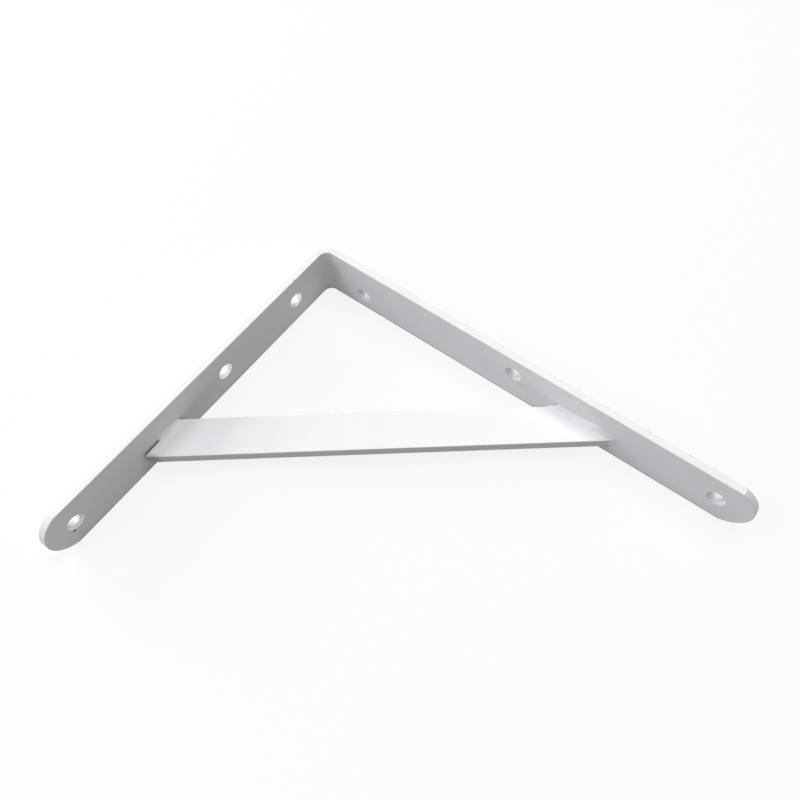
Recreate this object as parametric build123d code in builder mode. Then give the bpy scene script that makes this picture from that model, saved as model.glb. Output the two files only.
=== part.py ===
"""Fixed shelf bracket: a flat steel bar bent to a right angle, with a welded diagonal brace.

The bracket lies on its side.  X runs along the long leg, -Y along the short leg and Z
across the width of the bar.  The origin is the centre of the footprint, on the surface
that the bracket lies on.  All sizes are in millimetres.
"""

import os
from math import hypot

from build123d import *

# Bent bar
LONG_LEG = 250.0  # outer corner to tip
SHORT_LEG = 200.0  # outer corner to tip
BAR_WIDTH = 30.0
BAR_THICKNESS = 4.0
BEND_RADIUS = 4.5  # inside of the bend
TIP_FLARE = 1.0  # radius of a round end beyond half the width, so that it meets the edges at a corner
BAR_EDGE = 0.4  # rolled edge of the flat bar

# Countersunk screw holes, each given by its distance from the outer corner and its height
# above the middle of the bar.  Two holes of the long leg are staggered, to spare the shelf's grain.
LONG_LEG_HOLES = ((28.7, -5.5), (123.0, 3.5))
SHORT_LEG_HOLES = ((31.0, 0.0), (86.0, 0.0))
LONG_LEG_END_HOLE = 17.5  # from the tip, in the middle of the bar
SHORT_LEG_END_HOLE = 15.5
HOLE_DIAMETER = 6.5
SINK_DIAMETER = 9.0
SINK_ANGLE = 90.0

# Diagonal brace, a narrower flat bar that lies in the plane of the two legs
BRACE_WIDTH = 20.0
BRACE_THICKNESS = 6.0
BRACE_DROP = 3.7  # its middle lies this far below the middle of the bent bar
BRACE_ON_LONG_LEG = 181.8  # outer corner to its front edge, along the long leg
BRACE_ON_SHORT_LEG = 144.8  # outer corner to its front edge, along the short leg
BRACE_EDGE = 0.5
MITRE_GAP = 0.9  # the short-leg mitre is cut out of true and stands open at the front edge
MITRE_NOSE = 1.2  # rounded front corner of that mitre

# Fillet welds
WELD_HEIGHT = 2.6  # up the face of the leg
WELD_REACH = 5.0  # out from the leg, over the brace
WELD_TOE = 0.1  # thickness left at the outer edge of a fillet
WELD_WAIST = (0.4, 0.52)  # reach and height of its slightly hollow middle, as shares of the whole
WELD_ROUND = 0.9  # end radius of a fillet, as a share of half its depth
WELD_WRAP = 1.2  # the long-leg weld goes round the front edge of the brace by this much
TACK_LENGTH = 14.5  # upper weld on the short leg, from the back edge of the brace

# The corner frame: its origin is the sharp outer corner, in the plane of the underside
corner = Plane((-LONG_LEG / 2, SHORT_LEG / 2, 0))
mid_width = BAR_WIDTH / 2
tip_radius = mid_width + TIP_FLARE
brace_middle = mid_width - BRACE_DROP
brace_top = brace_middle + BRACE_THICKNESS / 2


def inner_face_of_long_leg(height):
    """Its x runs from the outer corner to the tip, its y up and its z into the V."""
    return Plane(corner.from_local_coords((0, -BAR_THICKNESS, height)), x_dir=(1, 0, 0), z_dir=(0, -1, 0))


def inner_face_of_short_leg(height):
    """Its x runs from the outer corner to the tip, its y down and its z into the V."""
    return Plane(corner.from_local_coords((BAR_THICKNESS, 0, height)), x_dir=(0, -1, 0), z_dir=(1, 0, 0))


# Where the brace meets the inner faces, measured from the outer corner along each leg
brace_run = BRACE_ON_LONG_LEG - BAR_THICKNESS
brace_rise = BRACE_ON_SHORT_LEG - BAR_THICKNESS
brace_length = hypot(brace_run, brace_rise)
back_on_long_leg = BRACE_ON_LONG_LEG - BRACE_WIDTH * brace_length / brace_rise
back_on_short_leg = BRACE_ON_SHORT_LEG - BRACE_WIDTH * brace_length / brace_run


# One flat bar, bent flat-wise, with round ends and countersunk holes
with BuildPart() as bent_bar:
    with BuildSketch(corner):
        with BuildLine():
            outside = FilletPolyline(
                (LONG_LEG, 0),
                (0, 0),
                (0, -SHORT_LEG),
                radius=BEND_RADIUS + BAR_THICKNESS,
            )
            inside = FilletPolyline(
                (LONG_LEG, -BAR_THICKNESS),
                (BAR_THICKNESS, -BAR_THICKNESS),
                (BAR_THICKNESS, -SHORT_LEG),
                radius=BEND_RADIUS,
            )
            Line(outside @ 0, inside @ 0)
            Line(outside @ 1, inside @ 1)
        make_face()
    extrude(amount=BAR_WIDTH)

    legs = (
        (inner_face_of_long_leg(mid_width), LONG_LEG, LONG_LEG_HOLES, LONG_LEG_END_HOLE),
        (inner_face_of_short_leg(mid_width), SHORT_LEG, SHORT_LEG_HOLES, SHORT_LEG_END_HOLE),
    )
    for leg_face, leg_length, _, _ in legs:
        with BuildSketch(leg_face):
            with Locations((leg_length, 0)):
                Rectangle(2 * tip_radius, 2 * BAR_WIDTH)
            with Locations((leg_length - tip_radius, 0)):
                Circle(tip_radius, mode=Mode.SUBTRACT)
        extrude(amount=-BAR_THICKNESS, mode=Mode.SUBTRACT)

    across_bar = bent_bar.edges().filter_by(lambda edge: edge.length < 1.01 * BAR_THICKNESS)
    fillet(bent_bar.edges() - across_bar, BAR_EDGE)

    for leg_face, leg_length, holes, end_hole in legs:
        with Locations(leg_face):
            with Locations(*holes, (leg_length - end_hole, 0)):
                CounterSinkHole(HOLE_DIAMETER / 2, SINK_DIAMETER / 2, counter_sink_angle=SINK_ANGLE)


# The brace, mitred to the inner faces of both legs
long_leg_back = (back_on_long_leg, -BAR_THICKNESS)
long_leg_front = (BRACE_ON_LONG_LEG, -BAR_THICKNESS)
short_leg_back = (BAR_THICKNESS, -back_on_short_leg)
short_leg_front = (BAR_THICKNESS, -BRACE_ON_SHORT_LEG)
open_front = (BAR_THICKNESS + MITRE_GAP, -BRACE_ON_SHORT_LEG + MITRE_GAP * brace_rise / brace_run)

with BuildPart() as diagonal_brace:
    with BuildSketch(corner.offset(brace_top)):
        with BuildLine():
            Polyline(long_leg_back, long_leg_front, open_front, short_leg_back, close=True)
        brace_outline = make_face()
        fillet(brace_outline.vertices().sort_by(Axis.Y)[0], MITRE_NOSE)
    extrude(amount=-BRACE_THICKNESS)
    fillet(diagonal_brace.edges().filter_by(lambda edge: edge.length > 2 * BRACE_WIDTH), BRACE_EDGE)

# The brace with the open wedge of its short-leg mitre, which no weld runs into
with BuildPart() as brace_and_wedge:
    add(diagonal_brace.part)
    with BuildSketch(corner.offset(brace_top)):
        with BuildLine():
            Polyline(short_leg_back, short_leg_front, open_front, close=True)
        make_face()
    extrude(amount=-BRACE_THICKNESS)


# The plane of the back edge of the brace, facing away from the corner
back_of_brace = Plane(
    corner.from_local_coords((back_on_long_leg, -BAR_THICKNESS, 0)), z_dir=(brace_rise, -brace_run, 0)
)


def fillet_around_brace(leg_face, lean, start, end, wrap):
    """A fillet round the foot of the brace, from start to end along a leg.

    The brace comes back by lean for each millimetre out from the leg, and the fillet with it.
    """
    waist_reach, waist_height = WELD_WAIST
    with BuildPart() as bead:
        for out, share in (
            (0, 1),
            (WELD_REACH * waist_reach, waist_height),
            (WELD_REACH, WELD_TOE / WELD_HEIGHT),
        ):
            depth = BRACE_THICKNESS + 2 * WELD_HEIGHT * share
            with BuildSketch(leg_face.offset(out)):
                with Locations(((start + end) / 2 - lean * out, 0)):
                    RectangleRounded(end - start + 2 * wrap * share, depth, WELD_ROUND * depth / 2)
        loft()
        add(brace_and_wedge.part, mode=Mode.SUBTRACT)
        split(bisect_by=back_of_brace, keep=Keep.TOP)
    return bead.part


# On the long leg one weld runs over the brace, round its front edge and back underneath
with BuildPart() as long_leg_weld:
    add(
        fillet_around_brace(
            inner_face_of_long_leg(brace_middle),
            brace_run / brace_rise,
            back_on_long_leg,
            BRACE_ON_LONG_LEG,
            WELD_WRAP,
        )
    )

# On the short leg a short weld sits on the back half of the upper face
with BuildPart() as short_leg_upper_weld:
    add(
        fillet_around_brace(
            inner_face_of_short_leg(brace_middle),
            brace_rise / brace_run,
            back_on_short_leg,
            back_on_short_leg + TACK_LENGTH,
            0,
        )
    )
    split(bisect_by=Plane.XY.offset(brace_middle), keep=Keep.TOP)

# A long one runs underneath
with BuildPart() as short_leg_lower_weld:
    add(
        fillet_around_brace(
            inner_face_of_short_leg(brace_middle),
            brace_rise / brace_run,
            back_on_short_leg,
            BRACE_ON_SHORT_LEG,
            0,
        )
    )
    split(bisect_by=Plane.XY.offset(brace_middle), keep=Keep.BOTTOM)


pieces = {
    "bent_bar": bent_bar,
    "diagonal_brace": diagonal_brace,
    "long_leg_weld": long_leg_weld,
    "short_leg_upper_weld": short_leg_upper_weld,
    "short_leg_lower_weld": short_leg_lower_weld,
}
os.makedirs("parts", exist_ok=True)
for name, piece in pieces.items():
    piece.part.label = name
    export_step(piece.part, f"parts/{name}.step")
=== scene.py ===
"""Looks for a white powder-coated shelf bracket that lies on its side on a white table.

The bar and the brace keep their CAD shapes and get procedural powder coats.  Uneven beads
stand for the plain CAD welds.  Everything is in metres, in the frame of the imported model: X
along the long leg, -Y along the short leg, Z up.
"""

import math

import bmesh
import bpy
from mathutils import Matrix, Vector


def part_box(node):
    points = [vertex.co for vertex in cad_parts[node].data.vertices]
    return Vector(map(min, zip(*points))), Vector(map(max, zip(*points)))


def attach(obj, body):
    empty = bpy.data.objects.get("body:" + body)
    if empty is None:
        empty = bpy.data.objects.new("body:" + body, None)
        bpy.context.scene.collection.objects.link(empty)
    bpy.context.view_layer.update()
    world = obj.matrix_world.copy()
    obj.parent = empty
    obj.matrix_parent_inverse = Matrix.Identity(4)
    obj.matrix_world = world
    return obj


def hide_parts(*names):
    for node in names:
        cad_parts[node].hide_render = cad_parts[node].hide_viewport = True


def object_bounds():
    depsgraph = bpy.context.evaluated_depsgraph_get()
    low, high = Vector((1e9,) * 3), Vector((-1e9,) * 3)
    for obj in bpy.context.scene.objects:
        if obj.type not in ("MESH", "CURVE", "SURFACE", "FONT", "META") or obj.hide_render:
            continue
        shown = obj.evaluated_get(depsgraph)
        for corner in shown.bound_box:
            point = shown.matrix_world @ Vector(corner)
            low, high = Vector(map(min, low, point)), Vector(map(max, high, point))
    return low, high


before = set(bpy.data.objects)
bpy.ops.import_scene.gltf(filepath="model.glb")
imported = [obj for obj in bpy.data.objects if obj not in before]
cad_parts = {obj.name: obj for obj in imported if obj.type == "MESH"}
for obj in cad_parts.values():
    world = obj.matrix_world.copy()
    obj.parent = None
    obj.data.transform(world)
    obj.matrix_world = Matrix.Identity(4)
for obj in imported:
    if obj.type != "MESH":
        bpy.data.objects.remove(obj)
cad_low, cad_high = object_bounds()

# Camera: where it looks on the table, and from where
AIM = Vector((-0.0449, 0.0592, 0.0))
VIEW_AZIMUTH = math.radians(36.1)
VIEW_ELEVATION = math.radians(61.0)
VIEW_DISTANCE = 0.3644
LENS_MM = 31.63
SENSOR_MM = 36.0

LAMP_DISTANCE = 1.9
LAMP_SIZE = 0.9
AMBIENT_COLOUR = (0.92, 0.98, 1.0, 1.0)
AMBIENT_STRENGTH = 0.2

WHITE = (1.0, 1.0, 1.0, 1.0)
TABLE_SIZE = 6.0
TABLE_GLOW = 0.85  # share of the table's white that takes no shadow
TABLE_SHADED = (0.88, 0.88, 0.88, 1.0)  # the share that does
TABLE_BOUNCE = (0.5, 0.5, 0.5, 1.0)  # dimmer than the white that the camera sees

BAR_COLOUR = (0.88, 0.88, 0.88)
BRACE_COLOUR = (0.9, 0.9, 0.91)
# The beads' white is lighter than the bar's, though one coat covers both: a painted highlight on the beads
WELD_COLOUR = (0.95, 0.95, 0.96)
PRIMER_COLOUR = (0.36, 0.25, 0.22, 1.0)
SPECK_COLOUR = (0.35, 0.35, 0.36, 1.0)
# Near-black, for a spot beside the end hole of the short leg
DARK_SPOT_COLOUR = (0.03, 0.03, 0.03, 1.0)

# Powder coat: its unevenness, the painted shade in its corners, the painted contact
# shadow along its lower edge, and its orange peel
CLOUD_SCALE = 60.0
# Reach of the ambient occlusion that paints shade into corners
CORNER_SHADE_WIDTH = 0.0016
# Painted contact shadow along the edge on the table: the coat is darkened to the last share below the lower
# height, and the darkening is gone by the upper one
CONTACT_SHADOW_LOW, CONTACT_SHADOW_HIGH = 0.0002, 0.0013
CONTACT_SHADOW_SHADE = 0.4
PEEL_SCALE = 900.0
PEEL_DEPTH = 0.00008
PEEL_STRENGTH = 0.35
# Darkest share of the painted shade in corners, for the bar, the brace and the beads
BAR_CORNER_SHADE, BRACE_CORNER_SHADE, WELD_CORNER_SHADE = 0.6, 0.8, 0.95
# Darkest share of the painted shade on the brace's faces that don't look up
BRACE_SIDE_SHADE = 0.76

# The countersinks of the short leg, whose steel is partly bare: distance from the outer corner,
# and share of bare metal
BRIGHT_HOLES = ((0.031, 0.85), (0.086, 0.85), (0.1845, 0.3))
HOLE_HEIGHT = 0.015
SINK_RADIUS = 0.0045

# The brace, as in the CAD model: its front edge from the outer corner along the short leg, and
# its width
BRACE_ON_SHORT_LEG = 0.1448
BRACE_WIDTH = 0.02

# Weld beads: how far each stands up the leg and reaches out over the brace
LONG_HEIGHT, LONG_REACH = 0.0016, 0.0034
LONG_SWELL = 0.0014  # added to the height past the middle of the long-leg bead
SWELL_MIDDLE, SWELL_SPREAD = 0.66, 0.2  # as shares of the bead's length
WRAP_HEIGHT, WRAP_REACH = 0.0008, 0.0022  # round the front edge of the brace
TACK_HEIGHT, TACK_REACH = 0.0029, 0.003
TACK_LENGTH = 0.0145
UNDER_HEIGHT, UNDER_REACH = 0.0026, 0.003
BEAD_HOLLOW = 1.6  # one would be a flat face
BEAD_SINK = 0.0001  # how far the hidden faces of a bead reach into the steel
BEAD_STATIONS = 90
BEAD_STEPS = 10
SHARP_ANGLE = math.radians(35)

# Where the open mitre of the brace meets the short leg, at the front edge
OPEN_MITRE = (cad_low.x + 0.0085, cad_high.y - 0.1425, 0.0112)
PRIMER_RADIUS = 0.0042
# Two specks in the coat, on the upper edge of the long leg
SPECKS = ((cad_high.x - 0.0575, cad_high.y - 0.0002, 0.03), (cad_high.x - 0.0374, cad_high.y - 0.0002, 0.03))
# A near-black spot beside the end hole of the short leg, on its inner face, at the lower rim of
# its countersink
DARK_SPOT = (cad_low.x + 0.004, cad_low.y + 0.0126, 0.0105)
SPECK_RADIUS = 0.0005
DARK_SPOT_RADIUS = 0.0009


def set_up_camera():
    data = bpy.data.cameras.new("camera")
    data.lens = LENS_MM
    data.sensor_width = SENSOR_MM
    data.clip_start = 0.01
    camera = bpy.data.objects.new("camera", data)
    bpy.context.scene.collection.objects.link(camera)
    level = Vector((math.sin(VIEW_AZIMUTH), -math.cos(VIEW_AZIMUTH), 0.0))
    back = level * math.cos(VIEW_ELEVATION) + Vector((0, 0, math.sin(VIEW_ELEVATION)))
    camera.location = AIM + back * VIEW_DISTANCE
    camera.rotation_euler = back.to_track_quat("Z", "Y").to_euler()
    bpy.context.scene.camera = camera


def lamp(name, azimuth, elevation, power, colour):
    """A soft square lamp on a sphere round the bracket, pointing at its middle."""
    data = bpy.data.lights.new(name, "AREA")
    data.shape = "SQUARE"
    data.size = LAMP_SIZE
    data.energy = power
    data.color = colour
    light = bpy.data.objects.new(name, data)
    azimuth, elevation = math.radians(azimuth), math.radians(elevation)
    level = Vector((math.cos(azimuth), math.sin(azimuth), 0.0))
    towards = level * math.cos(elevation) + Vector((0, 0, math.sin(elevation)))
    light.location = towards * LAMP_DISTANCE
    light.rotation_euler = towards.to_track_quat("Z", "Y").to_euler()
    bpy.context.scene.collection.objects.link(light)


def add_node(tree, kind, inputs=(), **settings):
    """A shader node with its inputs set, or linked where the value is another node's output."""
    node = tree.nodes.new(kind)
    for name, value in settings.items():
        setattr(node, name, value)
    for name, value in dict(inputs).items():
        if isinstance(value, bpy.types.NodeSocket):
            tree.links.new(value, node.inputs[name])
        else:
            node.inputs[name].default_value = value
    return node


def combine(tree, operation, first, second):
    """The result of a sum on two outputs, or on an output and a number."""
    result = add_node(tree, "ShaderNodeMath", operation=operation)
    for socket, value in zip(result.inputs, (first, second)):
        if isinstance(value, bpy.types.NodeSocket):
            tree.links.new(value, socket)
        else:
            socket.default_value = value
    return result.outputs[0]


def remap(tree, value, from_low, from_high, to_low, to_high):
    """The output with one range stretched to another, and held at its ends."""
    limits = {"From Min": from_low, "From Max": from_high, "To Min": to_low, "To Max": to_high}
    return add_node(tree, "ShaderNodeMapRange", {"Value": value, **limits}).outputs["Result"]


def seen_directly(tree):
    """One for rays that show the background, straight from the camera or in a reflection."""
    path = add_node(tree, "ShaderNodeLightPath").outputs
    straight_or_mirrored = combine(tree, "MAXIMUM", path["Is Camera Ray"], path["Is Glossy Ray"])
    return combine(tree, "MAXIMUM", straight_or_mirrored, path["Is Transmission Ray"])


def mix_shaders(tree, factor, first, second):
    mix = add_node(tree, "ShaderNodeMixShader", {"Fac": factor})
    tree.links.new(first, mix.inputs[1])
    tree.links.new(second, mix.inputs[2])
    return mix.outputs[0]


def set_up_lights():
    lamp("key", 225, 45, 13.8, (0.89, 0.85, 1.0))
    lamp("low_side", 180, 20, 24.0, (1.0, 0.98, 0.93))
    lamp("top_back", 90, 70, 15.0, (1.0, 1.0, 0.95))
    world = bpy.data.worlds.new("studio")
    world.use_nodes = True
    tree = world.node_tree
    light = tree.nodes["Background"]
    light.inputs["Color"].default_value = AMBIENT_COLOUR
    light.inputs["Strength"].default_value = AMBIENT_STRENGTH
    white = add_node(tree, "ShaderNodeBackground", {"Color": WHITE, "Strength": 1.0})
    surface = mix_shaders(tree, seen_directly(tree), light.outputs[0], white.outputs[0])
    tree.links.new(surface, tree.nodes["World Output"].inputs["Surface"])
    bpy.context.scene.world = world


def set_up_floor():
    bpy.ops.mesh.primitive_plane_add(size=TABLE_SIZE, location=(0.0, 0.0, cad_low.z))
    floor = bpy.context.active_object
    floor.name = "floor"
    table = bpy.data.materials.new("table")
    table.use_nodes = True
    tree = table.node_tree
    tree.nodes.remove(tree.nodes["Principled BSDF"])
    bounce = add_node(tree, "ShaderNodeBsdfDiffuse", {"Color": TABLE_BOUNCE})
    shaded = add_node(tree, "ShaderNodeBsdfDiffuse", {"Color": TABLE_SHADED})
    glow = add_node(tree, "ShaderNodeEmission", {"Color": WHITE, "Strength": 1.0})
    seen = mix_shaders(tree, TABLE_GLOW, shaded.outputs[0], glow.outputs[0])
    surface = mix_shaders(tree, seen_directly(tree), bounce.outputs[0], seen)
    tree.links.new(surface, tree.nodes["Material Output"].inputs["Surface"])
    floor.data.materials.append(table)


def paint_spot(tree, place, colour, middle, radius, spot_colour):
    """The colour with a ragged spot of another colour round a point."""
    ragged = add_node(tree, "ShaderNodeTexNoise", {"Vector": place, "Scale": 1.2 / radius, "Detail": 3.0})
    away = add_node(tree, "ShaderNodeVectorMath", operation="DISTANCE")
    tree.links.new(place, away.inputs[0])
    away.inputs[1].default_value = middle
    edge = remap(tree, ragged.outputs["Fac"], 0.0, 1.0, 0.4 * radius, 1.6 * radius)
    nearness = combine(tree, "DIVIDE", away.outputs["Value"], edge)
    mix = add_node(tree, "ShaderNodeMixRGB", {"Fac": remap(tree, nearness, 0.7, 1.15, 0.85, 0.0)})
    tree.links.new(colour, mix.inputs[1])
    mix.inputs[2].default_value = spot_colour
    return mix.outputs[0]


def bright_steel(tree, place):
    """How bare the steel is: nothing but the cones and bores of the holes lies within their radius."""
    bare = 0.0
    for distance, share in BRIGHT_HOLES:
        flat = add_node(tree, "ShaderNodeVectorMath", operation="MULTIPLY")
        tree.links.new(place, flat.inputs[0])
        flat.inputs[1].default_value = (0, 1, 1)
        away = add_node(tree, "ShaderNodeVectorMath", operation="DISTANCE")
        tree.links.new(flat.outputs["Vector"], away.inputs[0])
        away.inputs[1].default_value = (0, cad_high.y - distance, HOLE_HEIGHT)
        inside = combine(tree, "LESS_THAN", away.outputs["Value"], SINK_RADIUS)
        bare = combine(tree, "MAXIMUM", bare, combine(tree, "MULTIPLY", inside, share))
    return bare


def powder_coat(name, colour, corner_shade, side_shade=1.0, spots=(), holes=False):
    """White powder coat: a fine orange peel over a slightly cloudy, satin surface.

    The coat has painted shade in corners, down to corner_shade, and on faces that don't look
    up, down to side_shade, and a painted contact shadow along the edge that lies on the table.
    """
    material = bpy.data.materials.new(name)
    material.use_nodes = True
    tree = material.node_tree
    shader = tree.nodes["Principled BSDF"]
    place = add_node(tree, "ShaderNodeTexCoord").outputs["Object"]
    normal = add_node(tree, "ShaderNodeNewGeometry").outputs["Normal"]
    cloud_settings = {"Vector": place, "Scale": CLOUD_SCALE, "Detail": 5.0}
    cloud = add_node(tree, "ShaderNodeTexNoise", cloud_settings).outputs["Fac"]
    # Ambient occlusion, for the painted shade in corners and creases
    corner = add_node(tree, "ShaderNodeAmbientOcclusion", {"Distance": CORNER_SHADE_WIDTH}).outputs["AO"]
    # Height above the table, for the painted contact shadow along the lower edge
    height = add_node(tree, "ShaderNodeSeparateXYZ", {"Vector": place}).outputs["Z"]
    # How far each face looks up, for the painted shade on faces that don't
    upwards = add_node(tree, "ShaderNodeSeparateXYZ", {"Vector": normal}).outputs["Z"]
    shade = remap(tree, cloud, 0.3, 0.7, 0.965, 1.0)
    for layer in (
        remap(tree, corner, 0.25, 0.85, corner_shade, 1.0),
        remap(tree, height, CONTACT_SHADOW_LOW, CONTACT_SHADOW_HIGH, CONTACT_SHADOW_SHADE, 1.0),
        remap(tree, upwards, 0.3, 0.9, side_shade, 1.0),
    ):
        shade = combine(tree, "MULTIPLY", shade, layer)
    shaded = add_node(tree, "ShaderNodeHueSaturation", {"Color": (*colour, 1.0), "Value": shade})
    coloured = shaded.outputs["Color"]
    for middle, radius, spot_colour in spots:
        coloured = paint_spot(tree, place, coloured, middle, radius, spot_colour)
    tree.links.new(coloured, shader.inputs["Base Color"])

    tree.links.new(remap(tree, cloud, 0.3, 0.7, 0.4, 0.5), shader.inputs["Roughness"])

    peel_settings = {"Vector": place, "Scale": PEEL_SCALE, "Detail": 2.0}
    peel = add_node(tree, "ShaderNodeTexNoise", peel_settings).outputs["Fac"]
    bumps = {"Strength": PEEL_STRENGTH, "Distance": PEEL_DEPTH, "Height": peel}
    surface = add_node(tree, "ShaderNodeBump", bumps)
    tree.links.new(surface.outputs["Normal"], shader.inputs["Normal"])
    if holes:
        tree.links.new(bright_steel(tree, place), shader.inputs["Metallic"])
    return material


def bead_surface(vertices, faces, foot, run, rise, out, rise_at, reach_at):
    """Adds a closed fillet bead, whose hollow face runs from one surface to the other.

    At each station along run, it stands up by rise_at(station) and out by reach_at(station).
    """
    first = len(vertices)
    ring = BEAD_STEPS + 2
    for number in range(BEAD_STATIONS + 1):
        station = number / BEAD_STATIONS
        base = foot + run * station
        height, reach = rise_at(station), reach_at(station)
        vertices.append(base - out * BEAD_SINK - rise * BEAD_SINK)
        for step in range(BEAD_STEPS):
            share = step / (BEAD_STEPS - 1)
            vertices.append(base + out * (reach * share) + rise * (height * (1 - share) ** BEAD_HOLLOW))
        vertices.append(base + out * reach - rise * BEAD_SINK)
    for number in range(BEAD_STATIONS):
        for corner in range(ring):
            here = first + number * ring + corner
            beside = first + number * ring + (corner + 1) % ring
            faces.append((here, beside, beside + ring, here + ring))
    faces.append(tuple(first + corner for corner in reversed(range(ring))))
    last = first + BEAD_STATIONS * ring
    faces.append(tuple(last + corner for corner in range(ring)))


def bead_piece(name, node, coat, beads):
    """One mesh of one or more beads, which stands for a weld of the CAD model."""
    vertices, faces = [], []
    for bead in beads:
        bead_surface(vertices, faces, *bead)
    mesh = bpy.data.meshes.new(name)
    mesh.from_pydata(vertices, [], faces)
    shell = bmesh.new()
    shell.from_mesh(mesh)
    bmesh.ops.recalc_face_normals(shell, faces=shell.faces)
    shell.to_mesh(mesh)
    shell.free()
    for polygon in mesh.polygons:
        polygon.use_smooth = True
    mesh.set_sharp_from_angle(angle=SHARP_ANGLE)
    mesh.materials.append(coat)
    piece = bpy.data.objects.new(name, mesh)
    bpy.context.scene.collection.objects.link(piece)
    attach(piece, "root")
    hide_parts(node)


def uneven_run(station, beats):
    """A hand-held torch's slight swell and ebb, round one."""
    return 1 + 0.03 * math.sin(beats * station) + 0.012 * math.sin(2.7 * beats * station + 1.3)


def rounded_end(station, power):
    return math.sqrt(max(0.0, 1 - station**power))


def lay_weld_beads():
    brace_low, brace_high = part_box("diagonal_brace")
    brace_run = brace_high.x - brace_low.x
    brace_rise = BRACE_ON_SHORT_LEG - (cad_high.y - brace_high.y)
    brace_length = math.hypot(brace_run, brace_rise)
    up, down = Vector((0, 0, 1)), Vector((0, 0, -1))
    along_long, along_short = Vector((1, 0, 0)), Vector((0, -1, 0))
    # Away from each leg by one, and along the brace
    from_long = Vector((-brace_run / brace_rise, -1, 0))
    from_short = Vector((1, brace_rise / brace_run, 0))
    long_foot = BRACE_WIDTH * brace_length / brace_rise
    short_foot = BRACE_WIDTH * brace_length / brace_run
    long_back = Vector((brace_high.x - long_foot, brace_high.y, brace_high.z))
    short_back = Vector((brace_low.x, cad_high.y - BRACE_ON_SHORT_LEG + short_foot, brace_high.z))
    to_underside = down * (brace_high.z - brace_low.z)
    coat = powder_coat("weld_coat", WELD_COLOUR, WELD_CORNER_SHADE)

    def long_rise(station):
        swell = LONG_HEIGHT + LONG_SWELL * math.exp(-(((station - SWELL_MIDDLE) / SWELL_SPREAD) ** 2))
        return swell * rounded_end(station, 10) * uneven_run(station, 38)

    def long_reach(station):
        return LONG_REACH * rounded_end(station, 10) * uneven_run(station + 0.4, 31)

    def wrap_rise(station):
        return WRAP_HEIGHT * math.sin(math.pi * station) ** 0.5

    def wrap_reach(station):
        return WRAP_REACH * math.sin(math.pi * station) ** 0.5

    def tack_rise(station):
        return TACK_HEIGHT * station**0.45 * rounded_end(station, 5) * uneven_run(station, 12)

    def tack_reach(station):
        return TACK_REACH * station**0.3 * rounded_end(station, 5)

    def under_rise(station):
        return UNDER_HEIGHT * rounded_end(station, 8) * uneven_run(station, 33)

    def under_reach(station):
        return UNDER_REACH * rounded_end(station, 8) * uneven_run(station + 0.3, 27)

    long_run, short_run = along_long * long_foot, along_short * short_foot
    bead_piece(
        "long_leg_bead",
        "long_leg_weld",
        coat,
        (
            (long_back, long_run, up, from_long, long_rise, long_reach),
            (long_back + long_run, to_underside, along_long, from_long, wrap_rise, wrap_reach),
            (long_back + to_underside, long_run, down, from_long, under_rise, under_reach),
        ),
    )
    bead_piece(
        "short_leg_upper_bead",
        "short_leg_upper_weld",
        coat,
        ((short_back, along_short * TACK_LENGTH, up, from_short, tack_rise, tack_reach),),
    )
    bead_piece(
        "short_leg_lower_bead",
        "short_leg_lower_weld",
        coat,
        ((short_back + to_underside, short_run, down, from_short, under_rise, under_reach),),
    )


def coat_cad_nodes():
    brace_spots = ((OPEN_MITRE, PRIMER_RADIUS, PRIMER_COLOUR),)
    bar_spots = [(middle, SPECK_RADIUS, SPECK_COLOUR) for middle in SPECKS]
    bar_spots.append((DARK_SPOT, DARK_SPOT_RADIUS, DARK_SPOT_COLOUR))
    coats = {
        "bent_bar": powder_coat("bar_coat", BAR_COLOUR, BAR_CORNER_SHADE, spots=bar_spots, holes=True),
        "diagonal_brace": powder_coat("brace_coat", BRACE_COLOUR, BRACE_CORNER_SHADE, BRACE_SIDE_SHADE, brace_spots),
    }
    for name, coat in coats.items():
        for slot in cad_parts[name].material_slots:
            slot.material = coat


set_up_camera()
set_up_lights()
set_up_floor()
coat_cad_nodes()
lay_weld_beads()
bpy.context.scene.view_settings.view_transform = "Standard"
